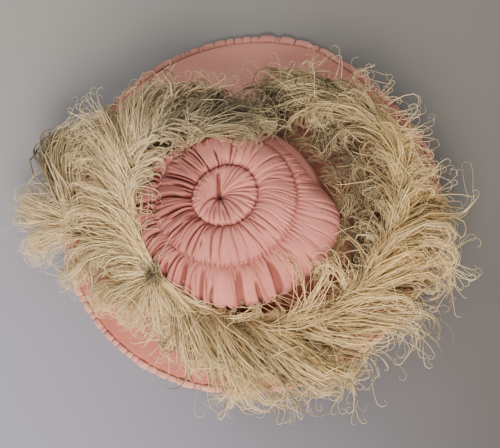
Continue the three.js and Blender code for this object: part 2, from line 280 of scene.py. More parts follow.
def make_brim():
    angle = around(BRIM_STEPS)
    rings = []
    for share in np.linspace(0, 1, BRIM_RINGS["upper"]):
        ring = brim_points(angle, share)
        fade = math.sin(math.pi * min(1, share * 1.02)) ** 0.6
        for crease in CREASES:
            ring[:, 2] += crease["depth"] * fade * hump(angle, crease)
        rings.append(ring)
    for share in WIRE_TURN:
        ring = brim_points(angle, 1.0, CLOTH * share)
        outwards = WIRE_STANDS_OUT * math.sin(math.pi * share)
        ring += outwards * round_centre((0, 0), 1, angle, 0)
        rings.append(ring)
    for share in np.linspace(BRIM_FLAT, 0, BRIM_RINGS["under"]):
        ring = brim_points(angle, share, CLOTH)
        if share == BRIM_FLAT:
            ring[:, 2] = brim_points(angle, 1.0, CLOTH)[:, 2]
        rings.append(ring)
    # Painted light: the front of the brim's upper side takes the paler colour
    painted_front = np.tile(hump(angle, PAINTED_LIGHT_FRONT), (len(rings), 1))
    return skin("brim_silk", np.array(rings), {"painted_shading": painted_front})


brim = make_brim()
brim.data.materials.append(cloth_material(
    "dusty_pink_silk", SILK, SILK_SHADE, SILK_PAINTED_LIGHT, threads=900, crinkle=0.3, relief=0.0003
))
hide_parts("brim")
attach(brim, "root")

# The frill: a strip of the same silk chiffon folded double, gathered on a running thread and sewn
# along the rim. It stands in uneven puffs with small pinched creases between them, darkened with
# painted shade.
GAP = 0.4  # between the rim and the frill
FRILL_WIDTH = 8.5
FRILL_NARROW = 7
FRILL_SECTION = rows_of("out up", [
    (0.0, 0.7),
    (0.05, 1.7),
    (0.2, 2.3),
    (0.45, 2.4),
    (0.72, 2.0),
    (0.93, 1.5),
    (1.0, 0.9),
    (0.85, 0.3),
    (0.5, 0.05),
    (0.15, 0.2),
])
FRILL_STEPS = 1440
FRILL_GATHERS = 84
FRILL_UNEVEN = 0.7
CREASE_HALF = 0.65  # half the width of a pinched crease
FULL_PUFF = 16  # from this width on, a fold between two creases puffs out fully
FRILL_SEAM = 0.2  # how much of the painted crease shade lies along the seam, where the cloth lies fourfold
FRILL_PINK = (0.79, 0.365, 0.302)
FRILL_SHADE = (0.67, 0.28, 0.228)
# Painted shade: the dark colour of the pinched creases and the seam
FRILL_PAINTED_SHADE = (0.34, 0.10, 0.075)


def uneven_edges(count, unevenness, rng):
    """Angles that part a circle into folds of uneven width."""
    widths = rng.lognormal(0, unevenness, count)
    return np.concatenate([[0], np.cumsum(widths)]) / widths.sum() * 2 * np.pi


def fold_place(angle, edges):
    """For each angle the fold that it lies in, the place across it from 0 to 1, and its width."""
    turned = np.mod(angle, 2 * np.pi)
    fold = np.clip(np.searchsorted(edges, turned, side="right") - 1, 0, len(edges) - 2)
    width = edges[fold + 1] - edges[fold]
    return fold, (turned - edges[fold]) / width, width


def make_frill():
    rng = np.random.default_rng(31)
    angle = around(FRILL_STEPS)
    edges = uneven_edges(FRILL_GATHERS, FRILL_UNEVEN, rng)
    fold, across, width = fold_place(angle, edges)
    pinch = rng.uniform(0.35, 1.0, FRILL_GATHERS + 1)
    pinch[-1] = pinch[0]
    near_edge = np.minimum(across, 1 - across) * width * RIM_RADIUS
    edge_pinch = np.where(across < 0.5, pinch[fold], pinch[fold + 1])
    crease = edge_pinch * np.exp(-((near_edge / CREASE_HALF) ** 2))
    puff = np.sqrt(np.clip(1 - (2 * across - 1) ** 2, 0, 1))
    puff = puff * np.clip(width * RIM_RADIUS / FULL_PUFF, 0.3, 1)
    front = hump(angle, FRONT)
    size = FRILL_NARROW + (FRILL_WIDTH - FRILL_NARROW) * front
    sway = 0.35 * np.sin(9 * angle + 1) + 0.3 * np.sin(23 * angle)
    rings = []
    painted_shading = []
    for row in FRILL_SECTION:
        out = row["out"] * size * (0.84 + 0.22 * puff - 0.3 * crease) + sway * row["out"]
        up = row["up"] * (0.75 + 1.1 * puff - 0.7 * crease)
        flutter = 0.35 * row["out"] * np.sin(61 * angle + 2 * np.sin(7 * angle))
        height = GAP + FRONT["lift"] * front + np.maximum(up + flutter * (row["up"] > 1), 0)
        rings.append(round_centre(BRIM_CENTRE, rim_radius(angle) + GAP + out, angle, height))
        # Painted shade in the pinched creases and along the seam
        painted_shading.append(np.clip(0.95 * crease + FRILL_SEAM * (row["out"] < 0.1), 0, 1))
    return skin("brim_frill_puffs", np.array(rings), {"painted_shading": np.array(painted_shading)})


frill = make_frill()
frill.data.materials.append(cloth_material(
    "frill_chiffon", FRILL_PINK, FRILL_SHADE, FRILL_PAINTED_SHADE, threads=700, crinkle=1.6, relief=0.0007
))
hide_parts("brim_frill")
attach(frill, "root")

# The crown: one wide piece of salmon chiffon over a soft form. Two rings of small running stitches
# draw it up in uneven folds, and its middle is pinched and sewn down, off the centre of its disc.
CROWN_PROFILE = rows_of("radius height rings fold gather puff", [
    # radius and height in mm, rings of points up to the next row, and shares of the folds' depth,
    # of the gathers at the stitches, and of the puff at the side
    (0.8, 90.0, 2, 0.1, 0, 0),
    (3.0, 96.0, 3, 0.6, 0, 0),
    (8.0, 103.0, 3, 1.0, 0, 0),
    (17.0, 106.0, 4, 1.0, 0, 0),
    (26.0, 106.6, 3, 1.0, 0.3, 0),
    (31.0, 104.6, 2, 0.8, 0.9, 0),
    (33.4, 101.6, 2, 0.6, 1, 0),
    (33.8, 98.4, 2, 0.1, 0.2, 0),
    (35.4, 100.6, 2, 0.6, 1, 0),
    (39.0, 103.6, 3, 0.9, 0.5, 0),
    (48.0, 104.8, 4, 1.0, 0, 0),
    (59.0, 102.0, 4, 1.0, 0, 0),
    (68.0, 97.0, 2, 0.9, 0.4, 0),
    (72.8, 92.4, 2, 0.7, 1, 0.1),
    (73.4, 87.0, 2, 0.1, 0.2, 0.1),
    (75.6, 87.6, 2, 0.5, 1, 0.2),
    (80.0, 88.0, 3, 0.8, 0.5, 0.4),
    (90.0, 83.0, 4, 1.0, 0, 0.7),
    (99.0, 72.5, 4, 1.0, 0, 0.9),
    (104.5, 59.0, 4, 1.0, 0, 1),
    (105.0, 46.0, 3, 1.0, 0.3, 0.8),
    (103.0, 34.0, 2, 0.8, 0.5, 0.4),
    (100.5, 26.6, 1, 0.3, 0, 0),
])
CROWN_STEPS = 900
FIRST_RING = 33.6
SECOND_RING = 73.2
CROWN_REACH_BELOW = 128  # where the outer folds end, on a radius that goes on down the side
# Where the crown's side stands out in a puff, and where it is drawn in
PUFFS = rows_of("depth angle spread", [
    (12, -14, 30),
    (-14, 42, 48),
])
SLACK = 2.6  # how far the cloth strays from its even form
PINCH = np.array([-6.5, -0.5])
CREASE_COLUMNS = "angle curve start end depth width gap"
DISC_CREASES = [
    # angle at the outer end and turn towards the inner end in degrees, start and end as shares of
    # the way out, then depth, softness and width of the open bottom in mm
    (108, -14, 0.0, 0.8, 5.4, 1.2, 0.6),
    (84, 4, 0.25, 1.0, 1.5, 0.8, 0),
    (75, 0, 0.1, 1.0, 2.2, 0.9, 0),
    (64, -2, 0.15, 1.0, 2.4, 0.9, 0),
    (52, -4, 0.3, 1.0, 1.4, 0.8, 0),
    (30, 8, 0.1, 0.75, 1.6, 1.2, 0),
    (11, 18, 0.05, 1.0, 2.4, 1.0, 0),
    (-4, 26, 0.05, 0.9, 2.0, 0.9, 0),
    (-17, 30, 0.05, 1.0, 2.6, 1.0, 0),
    (-32, 30, 0.1, 1.0, 2.0, 0.9, 0),
    (-46, 26, 0.05, 1.0, 2.6, 1.0, 0),
    (-61, 18, 0.1, 0.9, 2.0, 0.9, 0),
    (-74, 10, 0.05, 1.0, 2.8, 1.0, 0.5),
    (-84, 4, 0.45, 1.0, 2.2, 0.9, 0.6),
    (-93, 0, 0.05, 1.0, 2.4, 0.9, 0),
    (-105, -8, 0.3, 1.0, 2.4, 0.9, 0.6),
    (-116, -14, 0.05, 1.0, 2.6, 1.0, 0),
    (-128, -10, 0.5, 1.0, 2.0, 0.9, 0),
    (-140, -24, 0.05, 1.0, 2.6, 1.0, 0),
    (-165, -12, 0.6, 1.0, 1.2, 0.8, 0),
    (170, -10, 0.65, 1.0, 1.0, 0.8, 0),
    (140, -4, 0.6, 1.0, 1.3, 0.8, 0),
    (116, -2, 0.5, 1.0, 1.8, 0.9, 0),
]
# The smooth parts of the disc between its creases, and small arcs across the first of them
DISC_LOBES = rows_of("angle spread height", [
    (168, 75, 1.6),
    (40, 38, 1.8),
])
LOBE_ARCS = {"shares": (0.5, 0.66, 0.82), "depth": 1.3, "width": 0.9, "angle": 168, "spread": 62}
STRAP_GAPS = [
    # the widest gaps between the outer folds, at the back: the same columns
    (-28, 3, 0.1, 1.0, 4.0, 0.9, 2.5),
    (-45, 4, 0.1, 1.0, 4.2, 0.9, 5.0),
    (-62, 6, 0.06, 1.0, 5.5, 0.7, 7.5),
    (-82, 2, 0.05, 1.0, 5.5, 0.7, 6.5),
    (-92, 0, 0.6, 1.0, 6.0, 0.9, 4.0),
    (-105, -2, 0.05, 1.0, 5.0, 0.8, 2.4),
    (-118, -3, 0.05, 1.0, 5.0, 0.8, 2.6),
    (-36, 3, 0.4, 1.0, 5.0, 0.7, 2.5),
    (-72, 3, 0.35, 1.0, 6.0, 0.7, 3.5),
    (-98, 0, 0.3, 1.0, 6.0, 0.7, 3.0),
    (-112, -2, 0.4, 1.0, 5.0, 0.7, 2.5),
    (-130, -3, 0.3, 1.0, 5.0, 0.8, 2.5),
]
# The two tiers of folds outside the disc: the rings that they lie between, the number of folds and
# their widest gap, the gaps given above, and the pleats at the inner and at the outer ring
TIERS = rows_of("inner outer folds gap given inner_pleats outer_pleats", [
    (FIRST_RING, SECOND_RING, 42, 1.2, [], 40, 70),
    (SECOND_RING, CROWN_REACH_BELOW, 54, 2.0, STRAP_GAPS, 60, 40),
])
FINE_CREASES = 90
LEFT = {"deeper": 0.8, "darker": 0.42, "angle": 190, "spread": 75}  # the short plume shades it: painted shade here, and deeper folds
RIGHT = {"flatter": 0.6, "angle": 0, "spread": 85}
TIGHT_BACK = {"angle": -110, "spread": 100}  # where the second ring of stitches is drawn tightest, and its painted shade darkest
FOLD_UNEVEN = 0.5
FOLD_DOME = 0.55
FULL_FOLD = 9  # a fold of this width has the full dome and lap, and a narrower one less
FOLD_LAP = {"up": 2.6, "angle": 200}  # how far one fold's edge stands over the next, and where most
STITCH_GATHERS = 96
GATHER_DEPTH = 0.9
LINING = {"in": 5.5, "down": 4}  # how far the lining lies within the form
MIDDLE_HEIGHTS = (88.0, 82.0)  # of the pinched middle, outside and inside
CHIFFON = (0.69, 0.26, 0.22)
CHIFFON_SHADE = (0.57, 0.19, 0.16)
# Painted shade: the dark colour of the creases, the stitched rings, the pinched middle and the left
CHIFFON_PAINTED_SHADE = (0.20, 0.042, 0.03)


def through_rows(rows):
    """Reads a profile at its rows and at even steps between them, on a smooth curve."""
    keys = list(rows[0])
    table = np.array([[row[key] for key in keys] for row in rows], float)
    length = np.concatenate([[0], np.cumsum(np.hypot(*np.diff(table[:, :2], axis=0).T))])
    slope = np.gradient(table, length, axis=0)
    low = np.concatenate([np.full(row["rings"], i) for i, row in enumerate(rows[:-1])])
    t = np.concatenate([np.arange(row["rings"]) / row["rings"] for row in rows[:-1]])
    low, t = np.append(low, len(rows) - 2), np.append(t, 1)[:, None]
    span = (length[low + 1] - length[low])[:, None]
    smooth = (
        (2 * t**3 - 3 * t**2 + 1) * table[low]
        + (t**3 - 2 * t**2 + t) * span * slope[low]
        + (3 * t**2 - 2 * t**3) * table[low + 1]
        + (t**3 - t**2) * span * slope[low + 1]
    )
    return {key: smooth[:, [i]] for i, key in enumerate(keys)}


def valleys(rows, angle, reach, along, rng):
    """Depth of the creases between folds. Each is steep on one side and soft on the other, and
    strays a little from its line."""
    total = np.zeros_like(reach)
    for row in rows_of(CREASE_COLUMNS, rows):
        stray = rng.normal(0, 1.1)
        stray = stray * np.sin(np.pi * (along * rng.uniform(0.7, 1.7) + rng.uniform(0, 2)))
        place = np.radians(row["angle"] + row["curve"] * (1 - along) ** 1.3 + stray)
        away = (np.mod(angle - place + np.pi, 2 * np.pi) - np.pi) * reach
        share = (along - row["start"]) / (row["end"] - row["start"])
        inside = np.clip(np.minimum(along - row["start"], row["end"] - along) / 0.14 + 0.35, 0, 1)
        half = row["gap"] / 2 * np.sin(np.pi * np.clip(share, 0, 1) ** 1.2) ** 0.6
        soft = np.where(away * rng.choice([-1, 1]) > 0, 1.9, 1) * row["width"]
        beyond = np.maximum(np.abs(away) - half, 0)
        total = np.maximum(total, row["depth"] * inside * np.exp(-((beyond / soft) ** 1.3)))
    return total


def fold_rows(count, gap, rng):
    """Creases round a tier, between folds of uneven width. Some end half way along."""
    edges = np.degrees(uneven_edges(count, FOLD_UNEVEN, rng)[:-1])
    rows = []
    for edge in edges:
        start = rng.choice([0, rng.uniform(0.2, 0.5)], p=[0.8, 0.2])
        end = rng.choice([1.0, rng.uniform(0.55, 0.8)], p=[0.75, 0.25])
        open_to = gap * rng.uniform(0.1, 1) ** 2
        rows.append((edge, rng.normal(0, 3.5), start, end, rng.uniform(2.2, 4.8), 0.55, open_to))
    return edges, rows


def pleat_ends(count, start, end, rng):
    """Short creases where the cloth is drawn up on a stitched ring."""
    return [
        (rng.uniform(0, 360), rng.normal(0, 2), *np.sort([start, end + rng.uniform(-0.1, 0.1)]),
         rng.uniform(1.2, 2.8), 0.7, rng.uniform(0, 1.0))
        for _ in range(count)
    ]


def fine_creases(count, rng):
    """Thin creases anywhere on a tier."""
    rows = []
    for _ in range(count):
        place = rng.uniform(0, 360), rng.normal(0, 5)
        ends = np.sort(rng.uniform(-0.2, 1.2, 2))
        rows.append((*place, *ends, rng.uniform(0.5, 1.3), 0.5, 0))
    return rows


def domes(edges, angle, reach):
    """The backs of the folds between the creases: flat, a little rounded, and each lapped over the
    next, the other way round on the other side of the crown."""
    edges = np.radians(np.append(edges, edges[0] + 360)) - math.radians(edges[0])
    _, across, width = fold_place(angle - edges[0], edges)
    turned = np.cos(angle - math.radians(FOLD_LAP["angle"]) + edges[0])
    lap = FOLD_LAP["up"] * (across - 0.5) * turned
    rounded = FOLD_DOME * (1 - np.abs(2 * across - 1) ** 3)
    return (rounded + lap) * np.clip(width * reach / FULL_FOLD, 0.3, 1.2)


def puffed(angle):
    """How far the crown's side stands out from a circle, in mm."""
    return sum(puff["depth"] * hump(angle, puff) for puff in PUFFS)


def crown_relief(angle, reach, rng):
    """Height of the folds over the crown's form, in three tiers parted by the stitched rings, and
    the depth of the creases between them."""
    disc_share = np.clip(reach / FIRST_RING, 0, 1)
    lobes = 0
    for lobe in DISC_LOBES:
        swell = hump(angle, lobe) * np.sin(np.pi * disc_share**1.2)
        lobes = lobes + lobe["height"] * swell
    arcs = 0
    for share in LOBE_ARCS["shares"]:
        line = np.exp(-(((disc_share - share) * FIRST_RING / LOBE_ARCS["width"]) ** 2))
        arcs = arcs + LOBE_ARCS["depth"] * line * hump(angle, LOBE_ARCS)
    creases = [np.maximum(valleys(DISC_CREASES, angle, reach, disc_share, rng), arcs)]
    backs = [lobes]
    for part in TIERS:
        share = np.clip((reach - part["inner"]) / (part["outer"] - part["inner"]), 0, 1)
        edges, rows = fold_rows(part["folds"], part["gap"], rng)
        rows += part["given"] + pleat_ends(part["inner_pleats"], -0.1, 0.25, rng)
        rows += fine_creases(FINE_CREASES, rng)
        rows += pleat_ends(part["outer_pleats"], 0.8, 1.1, rng)
        creases.append(valleys(rows, angle, reach, share, rng))
        backs.append(domes(edges, angle, reach))
    tier = (reach > FIRST_RING).astype(int) + (reach > SECOND_RING)
    crease = np.choose(tier, creases)
    uneven = LEFT["deeper"] * hump(angle, LEFT) - RIGHT["flatter"] * hump(angle, RIGHT)
    depth = 0.9 + uneven * (tier > 0)
    crease = crease * depth
    return np.choose(tier, backs) * depth - crease, crease


def slack(points):
    """How far each point strays from the crown's even form, in slow waves."""
    x, y = points[..., 0], points[..., 1]
    east = np.sin(y / 17 + 1) + np.sin((x + y) / 31 + 2)
    north = np.sin(x / 19) + np.sin((x - y) / 29 + 0.5)
    up = np.sin(x / 13 + y / 21) + np.sin(y / 11 - x / 25)
    reach = np.hypot(x - CROWN_CENTRE[0], y - CROWN_CENTRE[1])
    fade = np.clip(reach / 40, 0.2, 1) * np.clip((112 - reach) / 20, 0, 1)
    return SLACK / 2 * fade[..., None] * np.stack([east, north, 0.7 * up], axis=-1)


def closed_cap(name, rings, first, last, painted_shading):
    """A closed mesh through rings of points, with its two ends drawn to a point each."""
    rows, size = rings.shape[:2]
    points = np.concatenate([rings.reshape(-1, 3), [first, last]])
    turn = np.arange(size)
    onward = np.roll(turn, -1)
    end = (rows - 1) * size
    first_fan = np.stack([np.full(size, rows * size), onward, turn], axis=-1)
    last_fan = np.stack([np.full(size, rows * size + 1), end + turn, end + onward], axis=-1)
    faces = skin_faces(rows, size, closed=False).tolist() + first_fan.tolist() + last_fan.tolist()
    painted_shading = np.concatenate([painted_shading.ravel(), [1, 0]])
    return new_piece(name, points, facing_out(points, faces), {"painted_shading": painted_shading})


def painted_shade_share(angle, reach, crease, gathers, fold):
    """How much painted shade the chiffon takes, in its crease colour: in the folds, at the stitches,
    in the pinched middle and at the left, where the short plume shades it."""
    tight = 0.3 + 0.3 * hump(angle, TIGHT_BACK)
    stitched = 0.5 * np.exp(-((reach - FIRST_RING) ** 2))
    stitched = stitched + tight * np.exp(-((reach - SECOND_RING) ** 2))
    stitched *= 1 - 0.7 * gathers / GATHER_DEPTH
    deepest = np.where(reach < FIRST_RING, 2.8, 3.6)
    darkest = np.where(reach < SECOND_RING, 1, 0.8)
    colour = np.clip((crease / deepest) ** 1.7, 0, darkest) * fold + stitched
    colour += LEFT["darker"] * hump(angle, LEFT) * (reach > FIRST_RING)
    return np.clip(colour + np.exp(-((reach / 3) ** 2)), 0, 0.9)


def make_crown():
    rng = np.random.default_rng(27)
    profile = through_rows(CROWN_PROFILE)
    radius, height = profile["radius"], profile["height"]
    along = np.gradient(radius[:, 0]), np.gradient(height[:, 0])
    out, up = (v[:, None] / np.hypot(*along)[:, None] for v in (-along[1], along[0]))
    # A reach that also grows where the side goes straight down, so that the folds run on there
    reach = np.maximum.accumulate(radius + np.clip(60 - height, 0, 40) * 0.5 * (radius > 90))
    angle = np.broadcast_to(around(CROWN_STEPS), (len(radius), CROWN_STEPS))
    reach = np.broadcast_to(reach, angle.shape)
    folds, crease = crown_relief(angle, reach, rng)
    beats = STITCH_GATHERS * np.where(reach < 50, 0.4, 1)
    gathers = np.sin(beats * angle + 2.1 * np.sin(5 * angle + 1) + 1.5 * np.sin(13 * angle))
    gathers *= GATHER_DEPTH * (0.7 + 0.5 * np.sin(7 * angle + 2) * np.sin(17 * angle))
    relief = folds * profile["fold"] + gathers * profile["gather"]
    puff = puffed(angle) * profile["puff"]
    points = round_centre(CROWN_CENTRE, radius + puff + relief * out, angle, height + relief * up)
    points[..., :2] += PINCH * np.clip(1 - radius / FIRST_RING, 0, 1)[..., None]
    points += slack(points) * profile["fold"][..., None]
    inside = through_rows([{**row, "rings": 1} for row in CROWN_PROFILE[4:]])
    lining = [
        round_centre(CROWN_CENTRE, r[0] - LINING["in"], angle[0], h[0] - LINING["down"])
        for r, h in zip(inside["radius"][::-2], inside["height"][::-2])
    ]
    lining[0][:, 2] = points[-1, :, 2]
    rings = np.concatenate([points, np.array(lining)])
    middles = zip((CROWN_CENTRE + PINCH, CROWN_CENTRE), MIDDLE_HEIGHTS)
    ends = [np.array([*place, top]) for place, top in middles]
    painted_shading = painted_shade_share(angle, reach, crease, gathers, profile["fold"])
    painted_shading = np.concatenate([painted_shading, np.zeros((len(lining), CROWN_STEPS))])
    return closed_cap("crown_chiffon", rings, *ends, painted_shading)


crown = make_crown()
crown.data.materials.append(cloth_material(
    "salmon_chiffon", CHIFFON, CHIFFON_SHADE, CHIFFON_PAINTED_SHADE, threads=700, crinkle=1.6, relief=0.0007
))
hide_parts("crown")
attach(crown, "root")

# The long plume: a quill with thousands of soft, straw-coloured barbs on both sides, steamed and
# curled at their tips. Its quill is sewn down at the left of the crown's back and goes round the
# right side.
PLUME_COLUMNS = (
    "x y z out_long out_root out_tip out_rise out_fall in_long in_root in_tip in_rise in_fall"
)
LONG_PLUME = [
    # the quill's place from the middle of the brim, then for the outer and the inner side: length
    # of the barbs, their splay from the quill at root and tip, and their rise at root and tip
    (-84, -99, 54, 84, 38, 52, 10, -44, 26, 14, 10, 5, 0),
    (-40, -133, 50, 136, 44, 10, 14, -40, 36, 10, 20, 4, -8),
    (14, -151, 48, 140, 44, -8, 16, -38, 46, 10, 44, 6, -14),
    (66, -151, 50, 140, 44, -40, 16, -38, 50, 8, 66, 10, -18),
    (116, -126, 54, 144, 14, 66, 18, -40, 54, 4, 92, 22, -22),
    (150, -82, 58, 124, 8, 116, 20, -42, 84, 10, 104, 20, -30),
    (168, -20, 60, 72, 8, 124, 20, -42, 104, 2, 106, 24, -34),
    (160, 34, 60, 44, 10, 100, 12, -44, 110, 2, 108, 18, -32),
    (138, 70, 58, 90, 16, -40, 8, -38, 94, 4, 70, 14, -30),
    (104, 96, 54, 102, 24, -34, 4, -36, 76, 4, 44, 4, -28),
    (62, 112, 46, 82, 34, -34, 0, -34, 72, 8, 26, 0, -25),
]
QUILL_PARTS = 9
QUILL_LENGTH = 0.28  # share of the quill in each of its overlapping parts
QUILL_LOW = 3  # how far it lies below the roots of its barbs
# Places along a barb as shares of its length, closer together where its tip curls
BARB_PLACES = np.array([0, 0.26, 0.5, 0.68, 0.775, 0.835, 0.88, 0.918, 0.95, 0.976, 1])
CURL_FROM = 0.64
BEND_LATE = 1.6  # above 1, a barb keeps near the quill first and turns away further out
CLEARANCE = 1.6
TUFTS = 34  # into how many tufts the barbs of each side of a plume part
# In degrees, how much the outer barbs of a tuft turn towards its middle, and how far whole tufts
# turn and bend astray
TUFT_CLOSE = 15
TUFT_TURN = 7
TUFT_BEND = 15
TUFT_SEED = 40
LOWEST = {"angle": 26, "depth": 14}  # how much steeper down, and from how much lower, it grows
ROOT_RISE = 3  # how far the roots of the top layer lie over the quill's line
ROOT_SPREAD = (4.5, 4.5, 3)
SHORT_RISE = 14  # how much more upright a barb stands the shorter it is, in degrees
CLEAR_BEND = 15  # from this bend on, the tip of a barb curls the way that the barb bends
PLUME_REACH = np.array([[-262, -236, 2], [262, 232, 116]])  # lowest and highest x, y and z in mm
# How the layers of a plume differ: how low they lie from 0 to 1, the shortest and longest barb as
# shares of the table's length, how far the locks stray in degrees, how far the tips curl in
# degrees, how much the barbs of a lock close up, and how far they sway in radians
FLAT_LOCKS, LOW_LOCKS, VANE_LOCKS, TOP_BARBS, LOOSE_BARBS = rows_of(
    "under shortest longest loose curl close sway", [
        (0.16, 0.6, 0.95, 7, (80, 200), 0, 0.2),
        (0.8, 0.45, 0.66, 7, (40, 120), 0, 0.15),
        (0.02, 0.6, 0.9, 6, (100, 220), 0, 0.2),
        (0.0, 0.76, 1.0, 7, (140, 310), 0.75, 0.2),
        (0.0, 0.3, 0.9, 9, (140, 330), 0.3, 0.2),
    ])
TUFT_BARBS = {"loose": 6, "curl": (120, 290), "sway": 0.28}
# A single barb, one of the finest, and a lock of fine barbs that cling together: half the width in
# mm, the thickness as a share of it, and the width at the root, a fifth, two thirds and the tip
BARB, FINE_BARB, LOCK = rows_of("width flat taper", [
    (0.38, 1, [0.9, 1, 0.8, 0.35]),
    (0.29, 1, [0.9, 1, 0.85, 0.4]),
    (1.9, 0.34, [0.45, 0.95, 0.75, 0.1]),
])
TAPER_PLACES = [0, 0.2, 0.66, 1]
BARB_SIDES = 3


def along_rows(table, share):
    """Reads a plume's table at shares of the quill's length, in smooth steps."""
    rows = np.array(table, float)
    place = share * (len(rows) - 1)
    low = np.clip(place.astype(int), 0, len(rows) - 2)
    t = place - low
    step = (t * t * (3 - 2 * t))[:, None]
    values = rows[low] * (1 - step) + rows[low + 1] * step
    return {key: values[:, i] for i, key in enumerate(PLUME_COLUMNS.split())}


def quill_line(table, share):
    """Place and heading of the quill at shares of its length, on a smooth curve through the rows
    of its table."""
    places = np.array(table, float)[:, :3]
    places[:, :2] += BRIM_CENTRE
    padded = np.concatenate([[2 * places[0] - places[1]], places, [2 * places[-1] - places[-2]]])
    low = np.clip((share * (len(places) - 1)).astype(int), 0, len(places) - 2)
    t = (share * (len(places) - 1) - low)[:, None]
    a, b, c, d = (padded[low + i] for i in range(4))
    square = 2 * a - 5 * b + 4 * c - d
    cube = 3 * b - a - 3 * c + d
    at = 0.5 * (2 * b + (c - a) * t + square * t**2) + 0.5 * cube * t**3
    way = 0.5 * ((c - a) + 2 * square * t + 3 * cube * t**2)
    return at, np.arctan2(way[:, 1], way[:, 0])


def grow(root, heading, bend, rise, fall, length, curl, roll, wave):
    """Lines of barbs in mm, one for each root. The angles are in radians, and wave holds each
    barb's sway from side to side, its beats and its start."""
    along = (BARB_PLACES[1:] + BARB_PLACES[:-1]) / 2
    over = np.clip((along - CURL_FROM) / (1 - CURL_FROM), 0, 1) ** 1.25
    sway, beats, first = (values[:, None] for values in wave)
    swing = sway * np.sin(2 * np.pi * (along * beats + first)) * (0.35 + along)
    turn = heading[:, None] + bend[:, None] * along**BEND_LATE + curl[:, None] * over + swing
    slope = rise[:, None] + (fall - rise)[:, None] * along + roll[:, None] * over
    slope = slope + 0.5 * sway * np.cos(2 * np.pi * (along * beats * 0.8 + first))
    way = np.stack([np.cos(slope) * np.cos(turn), np.cos(slope) * np.sin(turn), np.sin(slope)], -1)
    steps = way * (length[:, None] * np.diff(BARB_PLACES))[..., None]
    return np.concatenate([root[:, None], root[:, None] + np.cumsum(steps, axis=1)], axis=1)


def brim_height(x, y):
    """Height of the brim's upper side at a place, and beyond the rim as at the rim."""
    angle = np.arctan2(y - BRIM_CENTRE[1], x - BRIM_CENTRE[0])
    reach = np.hypot(x - BRIM_CENTRE[0], y - BRIM_CENTRE[1])
    offset = CROWN_CENTRE - BRIM_CENTRE
    along = offset[0] * np.cos(angle) + offset[1] * np.sin(angle)
    inner = along + np.sqrt(HEAD_RADIUS**2 - offset @ offset + along**2)
    return dished(angle, np.clip((reach - inner) / (rim_radius(angle) - inner), 0, 1))


CROWN_REACH = np.array([row["radius"] for row in CROWN_PROFILE])
CROWN_HEIGHT = np.array([row["height"] for row in CROWN_PROFILE])
WIDEST = int(np.argmax(CROWN_REACH))
STITCHED = 8  # the row of the profile next to the first ring of stitches
FOLDS_STAND = {"up": 3.5, "out": 4}  # how far the folds may stand over the profile


def lay_over_cloth(lines, clearance):
    """Moves barbs out of the brim and the crown, to lie over them."""
    for _ in range(3):
        x, y, z = lines[..., 0], lines[..., 1], lines[..., 2]
        east, north = x - CROWN_CENTRE[0], y - CROWN_CENTRE[1]
        reach = np.hypot(east, north)
        swell = puffed(np.arctan2(north, east))
        top = np.interp(reach, CROWN_REACH[: WIDEST + 1], CROWN_HEIGHT[: WIDEST + 1])
        top = top + FOLDS_STAND["up"]
        side = np.interp(z, CROWN_HEIGHT[WIDEST:STITCHED:-1], CROWN_REACH[WIDEST:STITCHED:-1])
        low_side = np.interp(z, CROWN_HEIGHT[:WIDEST:-1], CROWN_REACH[:WIDEST:-1])
        side = np.where(z < CROWN_HEIGHT[WIDEST], low_side, side) + FOLDS_STAND["out"] + swell
        inside = (reach < side) & (z < top)
        climb = inside & (top - z < side - reach)
        aside = inside & ~climb
        z = np.where(climb, top + clearance, z)
        scale = np.where(aside, (side + clearance) / np.maximum(reach, 1), 1)
        x = CROWN_CENTRE[0] + east * scale
        y = CROWN_CENTRE[1] + north * scale
        z = np.maximum(z, brim_height(x, y) + clearance)
        lines = np.stack([x, y, z], axis=-1)
        middle = (lines[:, :-2] + 2 * lines[:, 1:-1] + lines[:, 2:]) / 4
        lines[:, 1:-1] = np.where((inside[:, 1:-1])[..., None], middle, lines[:, 1:-1])
    return lines


def kept_within(lines, low, high):
    """Shortens the barbs that would stand out beyond a plume's lowest and highest corner."""
    root = lines[:, :1]
    out = lines - root
    room = np.where(out > 0, high - root, low - root)
    share = np.divide(room, out, out=np.full_like(out, 2), where=np.abs(out) > 1)
    return root + out * np.clip(share.min(axis=(1, 2)), 0.3, 1)[:, None, None]


